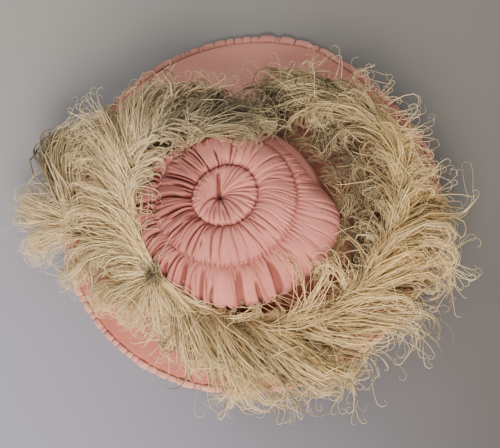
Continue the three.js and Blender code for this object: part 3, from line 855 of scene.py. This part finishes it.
def barb_bodies(name, lines, kind, size, twist, values):
    """One mesh of thin tapering bodies along the lines, each closed at both ends. The values are
    numbers for each body, kept on its points for the material."""
    count, places = lines.shape[:2]
    way = np.gradient(lines, axis=1)
    way /= np.maximum(np.linalg.norm(way, axis=-1, keepdims=True), 1e-9)
    across = np.cross(way[:, 0], np.array([0.03, 0.02, 1.0]))
    frames = []
    for i in range(places):
        across = across - np.einsum("ij,ij->i", across, way[:, i])[:, None] * way[:, i]
        across /= np.maximum(np.linalg.norm(across, axis=-1, keepdims=True), 1e-9)
        frames.append(across)
    level = np.stack(frames, axis=1)
    upright = np.cross(level, way)
    lean = (twist[0][:, None] + twist[1][:, None] * BARB_PLACES)[..., None]
    across = np.cos(lean) * level + np.sin(lean) * upright
    over = np.cos(lean) * upright - np.sin(lean) * level
    taper = np.interp(BARB_PLACES, TAPER_PLACES, kind["taper"])
    width = (size[:, None] * taper)[..., None]
    turns = 2 * np.pi * np.arange(BARB_SIDES) / BARB_SIDES
    rings = [
        lines + width * (math.cos(turn) * across + kind["flat"] * math.sin(turn) * over)
        for turn in turns
    ]
    points = np.stack(rings, axis=2)
    index = np.arange(count * places * BARB_SIDES).reshape(count, places, BARB_SIDES)
    here, there = index[:, :-1], index[:, 1:]
    quads = np.stack([here, there, np.roll(there, -1, 2), np.roll(here, -1, 2)], -1).reshape(-1, 4)
    faces = quads.tolist() + index[:, 0].tolist() + index[:, -1, ::-1].tolist()
    each = np.ones(points.shape[:3])
    attributes = {key: value[:, None, None] * each for key, value in values.items()}
    attributes["along"] = BARB_PLACES[None, :, None] * each
    attributes["across"] = np.cos(turns) * each
    return new_piece(name, points.reshape(-1, 3), faces, attributes)


FEATHER = {
    "Pale": (0.96, 0.78, 0.46),
    "Straw": (0.73, 0.56, 0.32),
    "Golden": (0.76, 0.47, 0.12),
    "Shade": (0.108, 0.09, 0.06),
}


def barb_tint():
    """A node group of straw feather: its tint varies from barb to barb, along each one, and in
    fine streaks across a lock of barbs that cling together."""
    group, given, result = new_group("barb_tint", FEATHER, ("Streaks",))
    tone, along = attribute(group, "tone"), attribute(group, "along")
    place = add_node(group, "ShaderNodeCombineXYZ", {
        "X": calculated(group, "MULTIPLY", attribute(group, "across"), given["Streaks"]),
        "Y": calculated(group, "MULTIPLY", along, 2.2),
        "Z": calculated(group, "MULTIPLY", tone, 90),
    })
    values = {"Vector": place["Vector"], "Scale": 1, "Detail": 2}
    streak = ranged(group, add_node(group, "ShaderNodeTexNoise", values)["Fac"], (0.32, 0.68))
    own = calculated(group, "MULTIPLY", tone, 0.6)
    lightness = calculated(group, "ADD", own, calculated(group, "MULTIPLY", streak, 0.4))
    colour = mixed(group, attribute(group, "warm"), given["Straw"], given["Golden"])
    colour = mixed(group, lightness, colour, given["Pale"])
    colour = mixed(group, ranged(group, along, (0.55, 1), (0, 0.4)), colour, given["Pale"])
    colour = mixed(group, attribute(group, "shade"), colour, given["Shade"])
    rough = ranged(group, tone, (0, 1), (0.45, 0.65))
    set_inputs(group, result, {"Colour": colour, "Roughness": rough, "Height": streak})
    return group


TINT = barb_tint()


def feather_material(name, streaks, relief):
    """A feather's material, with the number of streaks across a lock and their height in metres."""
    material, tree, shader = new_material(name)
    tint = add_node(tree, "ShaderNodeGroup", {**FEATHER, "Streaks": streaks}, node_tree=TINT)
    bump = add_node(tree, "ShaderNodeBump", {"Height": tint["Height"], "Distance": relief})
    set_inputs(tree, shader, {
        "Base Color": tint["Colour"],
        "Roughness": tint["Roughness"],
        "Normal": bump["Normal"],
        "Specular IOR Level": 0.35,
    })
    return material


# Spots of painted shade on the plumes, and of painted light where the share is below 0: the place
# from the middle of the brim and the reach in mm, and the share of shade
PAINTED_LIGHT_AND_SHADE = rows_of("place reach shade", [
    ((-14, 88), (48, 30), 0.95),
    ((10, 94), (20, 32), 0.9),
    ((72, 117), (44, 26), 0.5),
    ((-100, 84), (40, 36), 0.12),
    ((-140, -10), (56, 84), -0.5),
    ((18, -190), (90, 36), 0.2),
    ((128, -40), (30, 56), 0.5),
    ((176, 0), (34, 110), -0.45),
    ((140, 70), (30, 34), -0.25),
    ((90, 50), (32, 30), 0.6),
    ((-5, 58), (50, 18), 0.3),
    ((-168, -88), (44, 40), 0.32),
    ((-90, -100), (18, 18), 0.35),
])
# More golden towards the front right: partly the barbs' own tint, partly painted warm light
GOLDEN_SIDE = math.radians(-35)


def barb_group(lines, tone, shade, rng):
    """A group of barbs as joined() puts them together: their lines, and what their material needs.
    Dark barbs take more of the painted shade than pale ones."""
    warm = 0.5 + 0.5 * np.cos(np.arctan2(lines[:, 0, 1], lines[:, 0, 0]) - GOLDEN_SIDE)
    warm = np.clip(warm + rng.normal(0, 0.15, len(lines)), 0, 1)
    middle = lines[:, len(BARB_PLACES) // 2, :2] - BRIM_CENTRE
    takes = rng.uniform(0.6, 1.1, len(lines)) * (1.8 - 1.5 * tone)
    for spot in PAINTED_LIGHT_AND_SHADE:
        away = (middle - spot["place"]) / spot["reach"]
        shade = shade + spot["shade"] * np.exp(-(away**2).sum(axis=-1)) * takes
    return lines, {"tone": tone, "shade": np.clip(shade, 0, 0.95), "warm": warm}


def drift(share, rng, beats=9):
    """A number that strays smoothly along a quill, between about -2 and 2."""
    total = 0
    for tempo in (1, 1.7, 2.9):
        total = total + np.sin(2 * np.pi * (share * beats * tempo + rng.uniform(0, 1))) / tempo**0.5
    return total


def lock_values(locks, per_lock, layer, rng, share=0.0):
    """What the barbs of each lock share, repeated for every barb of it."""
    low, high = np.radians(layer["curl"])
    loose = math.radians(layer["loose"])
    shared = {
        "turn": loose * (1.5 * drift(share, rng) + rng.normal(0, 1, locks)),
        "bend": loose * (2.2 * drift(share, rng) + rng.normal(0, 1, locks)),
        "rise": loose * (0.8 * drift(share, rng, 14) + rng.normal(0, 0.6, locks)),
        "long": np.clip(0.55 + 0.3 * drift(share, rng, 12) + rng.normal(0, 0.2, locks), 0, 1),
        "curl": rng.choice([-1, 1], locks, p=[0.15, 0.85]) * rng.uniform(low, high, locks),
        "roll": rng.uniform(-1, 0.9, locks),
        "tone": np.clip(0.46 + 0.22 * drift(share, rng, 16) + rng.normal(0, 0.18, locks), 0, 1),
        "sway": rng.normal(0, layer["sway"], locks),
        "beats": rng.uniform(0.5, 1.2, locks),
        "first": rng.uniform(0, 1, locks),
    }
    return {key: np.repeat(values, per_lock) for key, values in shared.items()}


def wave_of(lock, count, rng):
    """The sway of each barb: its lock's, with a little of its own."""
    return (
        lock["sway"] + rng.normal(0, 0.06, count),
        lock["beats"] * rng.normal(1, 0.08, count),
        lock["first"] + rng.normal(0, 0.05, count),
    )


def close_up(lines, per_lock, share):
    """Draws the barbs of each lock together beyond their roots, so that they part again only in
    the curl at their tips."""
    locks = lines.reshape(-1, per_lock, *lines.shape[1:])
    middle = locks.mean(axis=1, keepdims=True)
    pull = share * np.interp(BARB_PLACES, [0, 0.5, 0.75, 1], [0, 0.8, 1, 0.75])
    return (locks + (middle - locks) * pull[:, None]).reshape(lines.shape)


def plume_barbs(table, side, locks, per_lock, layer, rng):
    """Barbs of one side of a plume (side 1 is away from the crown), in locks that lie together."""
    count = locks * per_lock
    under = layer["under"]
    share = (np.arange(locks) + rng.uniform(0, 1, locks)) / locks
    lock = lock_values(locks, per_lock, layer, rng, share)
    place = np.clip(np.repeat(share, per_lock) + rng.normal(0, 0.006, count), 0, 1)
    row = along_rows(table, place)
    root, ahead = quill_line(table, place)
    to_side = ahead - np.pi / 2
    outwards = root[:, :2] - CROWN_CENTRE
    facing = np.cos(to_side) * outwards[:, 0] + np.sin(to_side) * outwards[:, 1]
    hand = np.where(facing < 0, 1, -1) * side
    kind = "out" if side > 0 else "in"
    root_splay, tip_splay = (np.radians(row[f"{kind}_{key}"]) for key in ("root", "tip"))
    rise, fall = (np.radians(row[f"{kind}_{key}"]) for key in ("rise", "fall"))
    tuft = (place * TUFTS).astype(int)
    across = place * TUFTS - tuft - 0.5
    stray = np.random.default_rng(TUFT_SEED + side).normal(0, 1, (4, TUFTS + 1))[:, tuft]
    heading = ahead + hand * (root_splay + np.radians(TUFT_CLOSE) * across) + lock["turn"]
    heading = heading + np.radians(TUFT_TURN) * stray[0] + np.radians(rng.normal(0, 2, count))
    bend = hand * (tip_splay - root_splay) + lock["bend"] + np.radians(TUFT_BEND) * stray[1]
    drop = np.radians(LOWEST["angle"]) * under
    rise = rise - drop + lock["rise"] + np.radians(rng.normal(0, 4, count))
    fall = fall - drop * 0.2 + np.radians(rng.normal(0, 8, count))
    stretch = layer["shortest"] + (layer["longest"] - layer["shortest"]) * lock["long"]
    length = row[f"{kind}_long"] * stretch * rng.normal(1, 0.05, count) * (1 + 0.06 * stray[2])
    rise = rise + np.radians(SHORT_RISE) * (1 - stretch)
    follow = np.where(np.abs(bend) > np.radians(CLEAR_BEND), np.sign(bend), hand)
    curl = follow * lock["curl"] * rng.normal(1, 0.15, count)
    roll = lock["roll"] * np.radians(rng.uniform(20, 110, count))
    root = root + rng.normal(0, ROOT_SPREAD, (count, 3))
    root = root + np.array([0, 0, ROOT_RISE - LOWEST["depth"] * under])
    lines = grow(root, heading, bend, rise, fall, length, curl, roll, wave_of(lock, count, rng))
    lines = close_up(lines, per_lock, layer["close"])
    tone = 0.75 * lock["tone"] + 0.25 * rng.uniform(0, 1, count) + 0.13 * stray[3]
    tone = np.clip(tone, 0, 1)
    # Painted shade: darker for the lower layers and at the edges of the tufts, which lie in the gaps;
    # darker barbs are darker still by their own tone
    shade = under * 0.95 + 0.4 * (1 - tone) ** 3 + 1.1 * across**2 + rng.normal(0, 0.06, count)
    return barb_group(lines, tone, shade, rng)


def curls_on(group, count, shares, lengths, rng):
    """Short curled barbs that stand out of a plume: each starts part of the way along a barb of
    the group and leaves it to one side."""
    lines, values = group
    chosen = rng.integers(0, len(lines), count)
    step = rng.integers(*shares, count)
    root = lines[chosen, step] + np.array([0, 0, 1.5])
    way = lines[chosen, step + 1] - lines[chosen, step]
    side = rng.choice([-1, 1], count)
    heading = np.arctan2(way[:, 1], way[:, 0]) + side * np.radians(rng.uniform(0, 25, count))
    bend = side * np.radians(rng.uniform(0, 60, count))
    rise = np.radians(rng.uniform(5, 38, count))
    fall = np.radians(rng.uniform(-50, 0, count))
    length = rng.uniform(*lengths, count)
    curl = side * np.radians(rng.uniform(120, 330, count))
    roll = np.radians(rng.uniform(-60, 60, count))
    wave = rng.normal(0, 0.15, count), rng.uniform(0.5, 1.2, count), rng.uniform(0, 1, count)
    lines = grow(root, heading, bend, rise, fall, length, curl, roll, wave)
    tone = np.clip(values["tone"][chosen] * 0.3 + rng.uniform(0.4, 0.9, count), 0, 1)
    return barb_group(lines, tone, rng.normal(0.05, 0.05, count), rng)


def quill_of(table, rng):
    """The quill itself, in overlapping parts that narrow towards its tip."""
    starts = np.linspace(0, 1 - QUILL_LENGTH, QUILL_PARTS)
    share = starts[:, None] + QUILL_LENGTH * BARB_PLACES
    places, _ = quill_line(table, share.ravel())
    lines = places.reshape(len(starts), len(BARB_PLACES), 3) - (0, 0, QUILL_LOW)
    return barb_group(lines, np.full(len(starts), 0.8), np.full(len(starts), 0.1), rng)


SPRAY_COLUMNS = "x y z heading fan bend rise fall length shortest curl locks shade"


def spray_barbs(rows, per_lock, rng):
    """Tufts of barbs that part from a plume. Each row gives the root from the middle of the brim in
    mm, then in degrees the heading, how far it fans out, the bend, and the rise at root and tip,
    then the length in mm, the shortest barb as a share of it, the curl in degrees, the number of
    locks, and the share of shade."""
    groups = []
    for row in rows_of(SPRAY_COLUMNS, rows):
        lock = lock_values(row["locks"], per_lock, TUFT_BARBS, rng)
        count = row["locks"] * per_lock
        root = np.array([row["x"], row["y"], row["z"]]) + np.array([*BRIM_CENTRE, 0])
        root = root + rng.normal(0, 3.5, (count, 3))
        fan = np.repeat(rng.uniform(-1, 1, row["locks"]), per_lock)
        heading = np.radians(row["heading"] + row["fan"] * fan + rng.normal(0, 2.5, count))
        bend = np.radians(row["bend"] * (1 + rng.normal(0, 0.12, count)))
        rise = np.radians(row["rise"] + rng.normal(0, 4, count)) + 0.5 * lock["rise"]
        fall = np.radians(row["fall"] + rng.normal(0, 6, count))
        stretch = row["shortest"] + (1 - row["shortest"]) * lock["long"]
        length = row["length"] * stretch * rng.normal(1, 0.04, count)
        curl = np.radians(row["curl"]) * rng.uniform(0.6, 1.25, count)
        roll = lock["roll"] * np.radians(rng.uniform(10, 90, count))
        wave = wave_of(lock, count, rng)
        lines = grow(root, heading, bend, rise, fall, length, curl, roll, wave)
        tone = np.clip(0.6 * lock["tone"] + 0.4 * rng.uniform(0, 1, count), 0, 1)
        groups.append(barb_group(lines, tone, np.full(count, row["shade"]), rng))
    return groups


def joined(name, groups, kind, rng, material, node):
    """One piece from several groups of barbs, in place of a node."""
    lines = kept_within(np.concatenate([group[0] for group in groups]), *PLUME_REACH)
    lines = lay_over_cloth(lines, CLEARANCE)
    values = {key: np.concatenate([group[1][key] for group in groups]) for key in groups[0][1]}
    size = kind["width"] * rng.uniform(0.55, 1.25, len(lines))
    twist = rng.normal(0, 0.5, len(lines)), rng.normal(0, 0.8, len(lines))
    piece = barb_bodies(name, lines, kind, size, twist, values)
    piece.data.materials.append(material)
    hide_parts(node)
    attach(piece, "root")


barb_silk = feather_material("curled_barbs", streaks=0, relief=0.0001)
lock_silk = feather_material("locks_of_barbs", streaks=3.5, relief=0.0008)
rng = np.random.default_rng(83)
# Tufts that part from the plume at its start, over its back and at its tip
LONG_SPRAYS = [
    (-84, -98, 60, 276, 12, 10, 15, -45, 88, 0.5, 220, 14, 0),
    (-80, -98, 60, 318, 12, -6, 18, -40, 82, 0.7, 60, 16, 0),
    (-84, -98, 58, 214, 26, 30, 8, -40, 94, 0.35, 270, 17, 0.25),
    (-84, -98, 58, 250, 16, -24, 8, -40, 88, 0.4, -260, 9, 0.15),
    (-48, -126, 52, 282, 18, 20, 12, -40, 112, 0.75, 170, 17, 0),
    (-20, -140, 52, 288, 18, 30, 12, -40, 122, 0.75, 190, 20, 0),
    (20, -150, 52, 325, 10, -8, 14, -30, 118, 0.8, 90, 16, 0),
    (84, -142, 52, 338, 16, 10, 8, -35, 98, 0.6, 160, 13, 0.15),
    (-86, -95, 62, 40, 180, 70, 40, -20, 30, 0.4, 220, 12, 0.5),
    (62, 104, 46, 188, 24, 30, 0, -20, 60, 0.5, 60, 24, 0.8),
]
# Tufts in the gap between the crown's right side and the plume, with ten small ones that the loop
# sets along the crown's side
HOLLOW_TUFTS = [
    (124, 24, 34, 124, 40, 40, 14, -4, 76, 0.6, 120, 24, 0.7),
    (104, 62, 34, 168, 40, 30, 12, -10, 60, 0.6, 120, 20, 0.7),
    (122, -96, 34, 78, 16, 30, 20, 0, 84, 0.7, 120, 26, 0.55),
    (132, -60, 34, 92, 16, 30, 20, 0, 84, 0.7, 120, 30, 0.55),
    (138, -20, 34, 104, 16, 40, 20, 0, 76, 0.7, 120, 26, 0.55),
]
SMALL_TUFTS = {"reach": 116, "height": 44}
for turn in range(-40, 80, 12):
    centre = CROWN_CENTRE - BRIM_CENTRE
    root = round_centre(centre, SMALL_TUFTS["reach"], math.radians(turn), SMALL_TUFTS["height"])
    HOLLOW_TUFTS.append((*root, turn + 90, 80, 60, 36, -20, 42, 0.5, 220, 9, 0.4))
# Thin single barbs over the crown's side
WISPS = [
    (72, -134, 58, 72, 34, 60, 40, -6, 84, 0.5, 180, 12, -0.2),
    (112, -112, 60, 98, 26, 76, 34, -10, 88, 0.5, 180, 12, -0.2),
    (52, -146, 56, 20, 40, 60, 30, -20, 56, 0.6, -220, 9, -0.2),
]
long_locks = [
    quill_of(LONG_PLUME, rng),
    plume_barbs(LONG_PLUME, 1, 480, 1, FLAT_LOCKS, rng),
    plume_barbs(LONG_PLUME, -1, 260, 1, FLAT_LOCKS, rng),
    plume_barbs(LONG_PLUME, 1, 260, 1, LOW_LOCKS, rng),
    plume_barbs(LONG_PLUME, -1, 190, 1, LOW_LOCKS, rng),
]
joined("long_plume_locks", long_locks, LOCK, rng, lock_silk, "long_plume")
long_barbs = [
    plume_barbs(LONG_PLUME, 1, 190, 7, TOP_BARBS, rng),
    plume_barbs(LONG_PLUME, -1, 100, 7, TOP_BARBS, rng),
    plume_barbs(LONG_PLUME, 1, 100, 4, LOOSE_BARBS, rng),
    plume_barbs(LONG_PLUME, -1, 80, 4, LOOSE_BARBS, rng),
]
long_tufts = [
    *spray_barbs(LONG_SPRAYS, 5, rng),
    *spray_barbs(HOLLOW_TUFTS, 3, rng),
    *spray_barbs(WISPS, 2, rng),
]
joined("long_plume_tufts", long_tufts, BARB, rng, barb_silk, "long_plume")
joined("long_plume_barbs", long_barbs, BARB, rng, barb_silk, "long_plume")
long_curls = [
    curls_on(long_barbs[layer], count, (3, 9), (22, 58), rng)
    for layer, count in ((0, 740), (1, 200), (2, 150))
]
joined("long_plume_curls", long_curls, FINE_BARB, rng, barb_silk, "long_plume")

# The short plume: a second, wider feather of the same straw colour. It starts at the same place,
# goes up the left side and curls over the crown's front edge.
SHORT_PLUME = [
    # the same columns as those of the long plume
    (-90, -92, 60, 116, 30, 100, 12, -46, 15, 20, 10, 0, 0),
    (-109, -58, 70, 118, 16, 74, 18, -48, 20, 15, 10, 0, 0),
    (-118, -10, 80, 124, 28, 30, 20, -48, 66, 18, 96, 12, -10),
    (-108, 34, 86, 126, 40, -14, 16, -46, 64, 20, 104, 12, -10),
    (-72, 62, 88, 96, 44, -44, 4, -46, 50, 26, 88, 12, -10),
    (-22, 72, 84, 36, 20, -34, -2, -44, 44, 30, 84, 12, -15),
    (14, 70, 78, 18, 8, -18, -8, -40, 40, 20, 64, 4, -25),
]
# Tufts that part from the plume at the far left and lie over the crown's front edge
SHORT_SPRAYS = [
    (-190, -14, 40, 112, 7, -14, 10, 4, 114, 0.88, -180, 44, 0.8),
    (-188, -20, 44, 108, 5, -50, 18, -8, 118, 0.86, -60, 26, 0.3),
    (-184, -24, 40, 158, 20, -60, 10, -20, 78, 0.55, -300, 14, 0.1),
    (-180, -30, 40, 178, 18, -60, 10, -24, 106, 0.55, -300, 20, 0.05),
    (-176, -42, 42, 184, 18, 50, 14, -25, 92, 0.55, 280, 20, 0.1),
    (-160, -72, 42, 194, 20, 60, 14, -25, 80, 0.5, 280, 20, 0.15),
    (-130, -100, 42, 212, 34, 60, 16, -25, 66, 0.5, 300, 22, 0.1),
    (-112, -118, 42, 232, 30, 50, 16, -25, 52, 0.5, 300, 14, 0.1),
    (-84, -98, 50, 198, 14, -46, 5, -30, 104, 0.5, -280, 24, 0.3),
    (-84, -94, 58, 174, 10, -12, 10, -25, 80, 0.6, -220, 12, 0.0),
    (-146, -62, 40, 190, 22, 20, 12, -25, 62, 0.6, 280, 10, 0.1),
    (-88, -96, 66, 60, 180, 90, 50, -20, 34, 0.4, 260, 16, 0.75),
    (-92, -90, 66, 118, 7, 8, 8, -8, 120, 0.8, 40, 30, -0.1),
    (-110, -16, 94, 342, 2, -35, 5, -12, 46, 0.95, -20, 1, 0),
    (-52, 48, 90, 32, 16, -76, 10, -8, 116, 0.55, -160, 13, 0.3),
    (-46, 50, 90, 12, 14, -50, 10, -4, 92, 0.5, -150, 10, 0.3),
    (-98, 6, 60, 52, 60, 40, 26, -10, 30, 0.5, 240, 20, 0.45),
    (-42, 78, 60, 12, 28, -30, 0, -20, 90, 0.5, -60, 36, 0.9),
]
short_locks = [
    quill_of(SHORT_PLUME, rng),
    plume_barbs(SHORT_PLUME, 1, 400, 1, FLAT_LOCKS, rng),
    plume_barbs(SHORT_PLUME, 1, 340, 1, VANE_LOCKS, rng),
    plume_barbs(SHORT_PLUME, -1, 160, 1, FLAT_LOCKS, rng),
    plume_barbs(SHORT_PLUME, 1, 300, 1, LOW_LOCKS, rng),
    plume_barbs(SHORT_PLUME, -1, 120, 1, LOW_LOCKS, rng),
    *spray_barbs(SHORT_SPRAYS[:2], 2, rng),
]
joined("short_plume_locks", short_locks, LOCK, rng, lock_silk, "short_plume")
short_barbs = [
    plume_barbs(SHORT_PLUME, 1, 150, 7, TOP_BARBS, rng),
    plume_barbs(SHORT_PLUME, -1, 60, 7, TOP_BARBS, rng),
    plume_barbs(SHORT_PLUME, 1, 150, 4, LOOSE_BARBS, rng),
]
short_tufts = spray_barbs(SHORT_SPRAYS, 5, rng)
joined("short_plume_tufts", short_tufts, BARB, rng, barb_silk, "short_plume")
joined("short_plume_barbs", short_barbs, BARB, rng, barb_silk, "short_plume")
short_curls = [
    curls_on(short_barbs[layer], count, (2, 9), (20, 52), rng)
    for layer, count in ((0, 760), (1, 80), (2, 60))
]
short_curls += [curls_on(tuft, 36, (4, 9), (14, 40), rng) for tuft in short_tufts[1:8]]
joined("short_plume_curls", short_curls, FINE_BARB, rng, barb_silk, "short_plume")

# The floor and the light: a pale floor with painted light, lighter and bluer at the left and darker
# to the right, a large soft lamp low on the camera's side of the hat, and two weaker ones at the
# left and behind.
FLOOR_PAINTED_LIGHT = {
    "front left": (0.285, 0.285, 0.375),
    "back left": (0.305, 0.295, 0.285),
    "front right": (0.088, 0.084, 0.084),
    "back right": (0.155, 0.148, 0.138),
}
FLOOR_REACH = {"X": 0.34, "Y": 0.30}  # from the middle to where a corner's colour is reached
FLOOR_HALF = 6.0  # half of the floor's own width


def painted_floor_light():
    """Painted light on the floor: its colour passes softly from one corner's to the next."""
    paint, tree, shader = new_material("floor_painted_light")
    place = add_node(tree, "ShaderNodeTexCoord", {})["Object"]
    parts = add_node(tree, "ShaderNodeSeparateXYZ", {"Vector": place})
    share = {
        axis: ranged(tree, parts[axis], (-reach, reach), interpolation_type="SMOOTHSTEP")
        for axis, reach in FLOOR_REACH.items()
    }
    sides = [
        mixed(tree, share["Y"], FLOOR_PAINTED_LIGHT[f"front {side}"], FLOOR_PAINTED_LIGHT[f"back {side}"])
        for side in ("left", "right")
    ]
    set_inputs(tree, shader, {"Base Color": mixed(tree, share["X"], *sides), "Roughness": 0.9})
    return paint


floor_mesh = bpy.data.meshes.new("floor")
corners = [(FLOOR_HALF * x, FLOOR_HALF * y, 0) for x, y in ((-1, -1), (1, -1), (1, 1), (-1, 1))]
floor_mesh.from_pydata(corners, [], [(0, 1, 2, 3)])
floor_mesh.materials.append(painted_floor_light())
floor = bpy.data.objects.new("floor", floor_mesh)
bpy.context.scene.collection.objects.link(floor)


def soft_lamp(name, place, aim, size, power, colour):
    """A square lamp that shines from its place to its aim, in metres and watts."""
    lamp = bpy.data.lights.new(name, "AREA")
    lamp.shape = "SQUARE"
    lamp.size = size
    lamp.energy = power
    lamp.color = colour
    holder = bpy.data.objects.new(name, lamp)
    holder.location = place
    holder.rotation_mode = "QUATERNION"
    holder.rotation_quaternion = (Vector(aim) - Vector(place)).to_track_quat("-Z", "Y")
    bpy.context.scene.collection.objects.link(holder)


soft_lamp("key", (0.15, -2.1, 1.35), (0, 0, 0), 1.5, 150, (1, 0.91, 0.8))
soft_lamp("fill", (-1.2, 0.3, 1.9), (0, 0, 0), 1.4, 12, (0.94, 0.95, 1))
soft_lamp("back", (0.3, 1.2, 1.7), (0, 0.1, 0), 1.4, 8, (1, 0.96, 0.92))
world = bpy.data.worlds.new("studio")
world.use_nodes = True
sky = {"Color": (0.80, 0.78, 0.74), "Strength": 0.4}
set_inputs(world.node_tree, world.node_tree.nodes["Background"], sky)
bpy.context.scene.world = world

# The camera: above and behind the hat, turned and rolled as the photograph shows it.
AIM = np.array([-0.0005, -0.0092, 0])
DISTANCE = 1.4
ELEVATION = math.radians(67)
AZIMUTH = math.radians(22)
ROLL = math.radians(22)
MM_PER_PIXEL = 1.1  # at the place that the camera is aimed at
FOCAL_PIXELS = DISTANCE * 1000 / MM_PER_PIXEL
SENSOR = 36
PICTURE_WIDTH = 500


def look_from(aim, distance, azimuth, elevation, roll):
    """Where a camera stands and how it is turned. The azimuth goes anticlockwise from -Y."""
    back = np.array([
        math.sin(azimuth) * math.cos(elevation),
        -math.cos(azimuth) * math.cos(elevation),
        math.sin(elevation),
    ])
    level = np.array([math.cos(azimuth), math.sin(azimuth), 0])
    upright = np.cross(back, level)
    right = level * math.cos(roll) - upright * math.sin(roll)
    up = upright * math.cos(roll) + level * math.sin(roll)
    turn = np.stack([right, up, back], axis=1)
    place = np.eye(4)
    place[:3, :3] = turn
    place[:3, 3] = aim + back * distance
    return Matrix(place.tolist())


lens = bpy.data.cameras.new("camera")
lens.sensor_width = SENSOR
lens.lens = FOCAL_PIXELS * SENSOR / PICTURE_WIDTH
camera = bpy.data.objects.new("camera", lens)
camera.matrix_world = look_from(AIM, DISTANCE, AZIMUTH, ELEVATION, ROLL)
bpy.context.scene.collection.objects.link(camera)
bpy.context.scene.camera = camera
